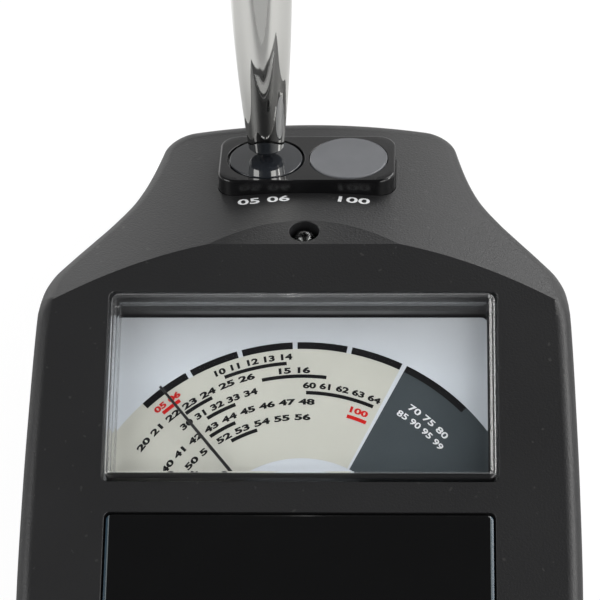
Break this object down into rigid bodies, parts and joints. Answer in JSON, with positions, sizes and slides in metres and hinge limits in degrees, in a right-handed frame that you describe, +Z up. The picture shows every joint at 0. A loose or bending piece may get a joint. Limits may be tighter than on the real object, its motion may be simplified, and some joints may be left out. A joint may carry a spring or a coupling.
{
  "type": "diamond tester",
  "caption": "Handheld diamond tester: rounded case with an analogue needle meter, a sloped end with test discs and a status lamp, and a metal pen probe that stands on a disc.",
  "frame": {"origin": "middle of the flat underside, halfway between the case's near and far ends", "axes": "+Z up out of the meter's face, +Y towards the sloped end with the discs, +X to the right of a user who faces the meter"},
  "size_m": [0.0768, 0.2187, 0.1233],
  "materials": {
    "case_plastic": "fine matt texture",
    "gloss_black": "polished",
    "black_plastic": "satin",
    "clear_acrylic": "clear, polished",
    "dial_card": "smooth print",
    "dark_glass": "dark and polished",
    "grey_disc": "fine ground face",
    "chrome": "polished plating",
    "bright_steel": "plated",
    "brass": "turned",
    "copper": "copper winding and copper tip",
    "soft_iron": "bare",
    "board_green": "solder mask",
    "battery_wrap": "printed sleeve",
    "clear_lamp": "clear resin",
    "ceramic": "bare ceramic"
  },
  "bodies": {
    "case": {"front_shell": "case_plastic", "back_shell": "case_plastic", "case_screw_1": "bright_steel", "case_screw_2": "bright_steel", "case_screw_3": "bright_steel", "case_screw_4": "bright_steel", "label_panel": "gloss_black", "meter_lens": "clear_acrylic", "meter_case": "black_plastic", "dial_plate": "dial_card", "dial_screw_left": "bright_steel", "dial_screw_right": "bright_steel", "upper_hairspring": "brass", "lower_hairspring": "brass", "yoke_ring": "soft_iron", "magnet_core": "bright_steel", "lower_bridge": "brass", "upper_bridge": "brass", "lower_jewel": "brass", "upper_jewel": "brass", "disc_block": "gloss_black", "glass_disc": "dark_glass", "reference_disc": "grey_disc", "status_led": "clear_lamp", "power_switch": "black_plastic", "circuit_board": "board_green", "connector_board": "board_green", "probe_jack": "black_plastic", "power_port": "bright_steel", "battery_1": "battery_wrap", "battery_2": "battery_wrap", "battery_3": "battery_wrap", "contact_spring_1": "bright_steel", "contact_spring_2": "bright_steel", "contact_spring_3": "bright_steel", "contact_plate_1": "bright_steel", "contact_plate_2": "bright_steel", "contact_plate_3": "bright_steel"},
    "needle": {"needle": "black_plastic", "moving_coil": "copper", "upper_pivot": "bright_steel", "lower_pivot": "bright_steel"},
    "button": {"power_button": "black_plastic", "switch_plunger": "black_plastic"},
    "door": {"battery_door": "case_plastic"},
    "pen": {"probe_nose": "chrome", "probe_barrel": "chrome", "probe_tail": "black_plastic", "tip_spring": "bright_steel", "sensor_rod": "ceramic"},
    "tip": {"probe_tip": "copper"}
  },
  "joints": [
    {"name": "needle_swing", "type": "hinge", "parent": "case", "child": "needle", "pos_m": [0, 0.00782, 0.0212], "axis": [0, 0, -1], "range_deg": [-11, 89], "stiffness_Nm_per_rad": 0.00001},
    {"name": "probe_lift", "type": "slide", "parent": "case", "child": "pen", "axis": [0, 0.5592, 0.829], "range_m": [0, 0.05]},
    {"name": "probe_tip_press", "type": "slide", "parent": "pen", "child": "tip", "axis": [0, 0.5592, 0.829], "range_m": [0, 0.0008], "stiffness_N_per_m": 500, "deforming": ["tip_spring"]},
    {"name": "power_button_press", "type": "slide", "parent": "case", "child": "button", "axis": [0, 0, -1], "range_m": [0, 0.0008], "stiffness_N_per_m": 800},
    {"name": "battery_door_slide", "type": "slide", "parent": "case", "child": "door", "axis": [0, -1, 0], "range_m": [0, 0.058]}
  ]
}
